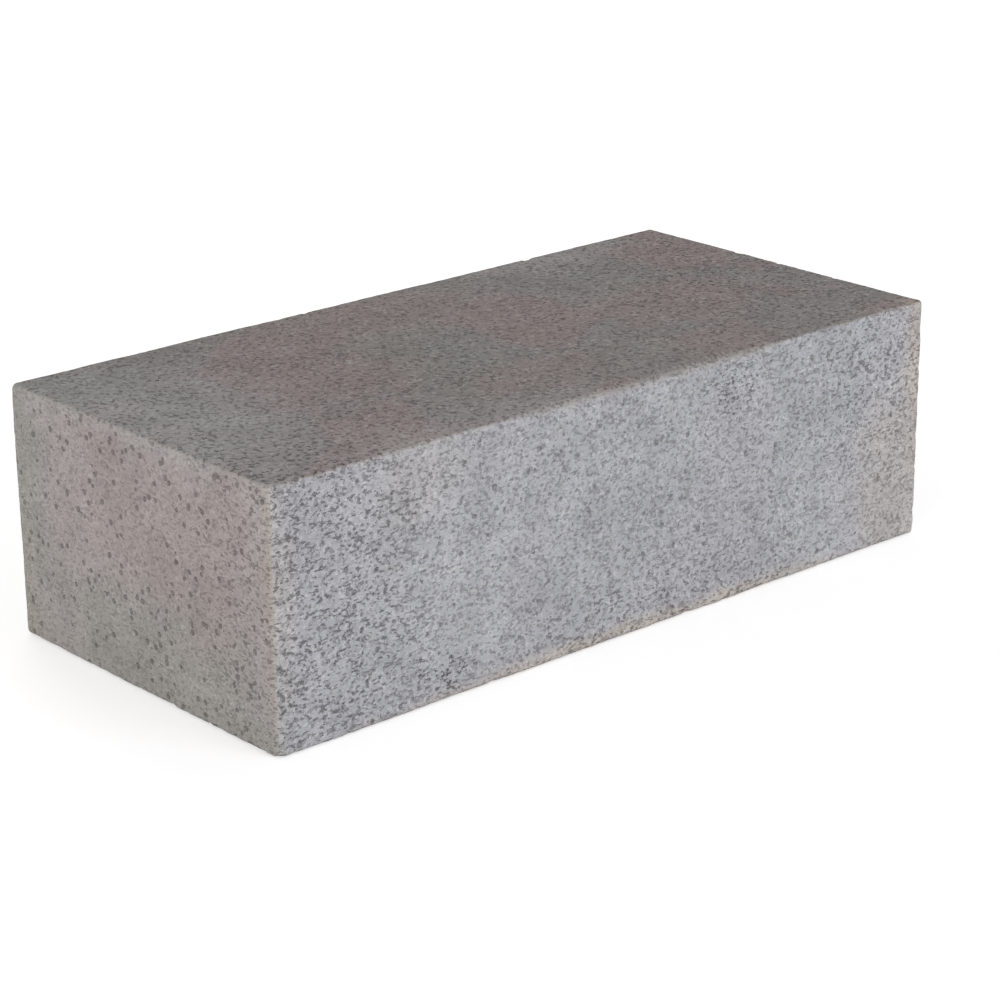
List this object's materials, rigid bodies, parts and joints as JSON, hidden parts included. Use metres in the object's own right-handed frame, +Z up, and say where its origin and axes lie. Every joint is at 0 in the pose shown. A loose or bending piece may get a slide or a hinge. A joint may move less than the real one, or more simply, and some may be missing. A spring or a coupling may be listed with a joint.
{
  "type": "concrete common brick",
  "caption": "Solid grey concrete common brick with plain flat bed faces, stretchers and headers and slightly eased arrises, for mortared masonry.",
  "frame": {"origin": "middle of the bottom bed face", "axes": "+X along the length (stretcher), +Y along the width (header) from the front stretcher to the back one, +Z up through the height"},
  "size_m": [0.215, 0.1024, 0.065],
  "materials": {
    "concrete": "matt, open-textured dense aggregate concrete"
  },
  "bodies": {
    "root": {"brick": "concrete"}
  },
  "joints": []
}
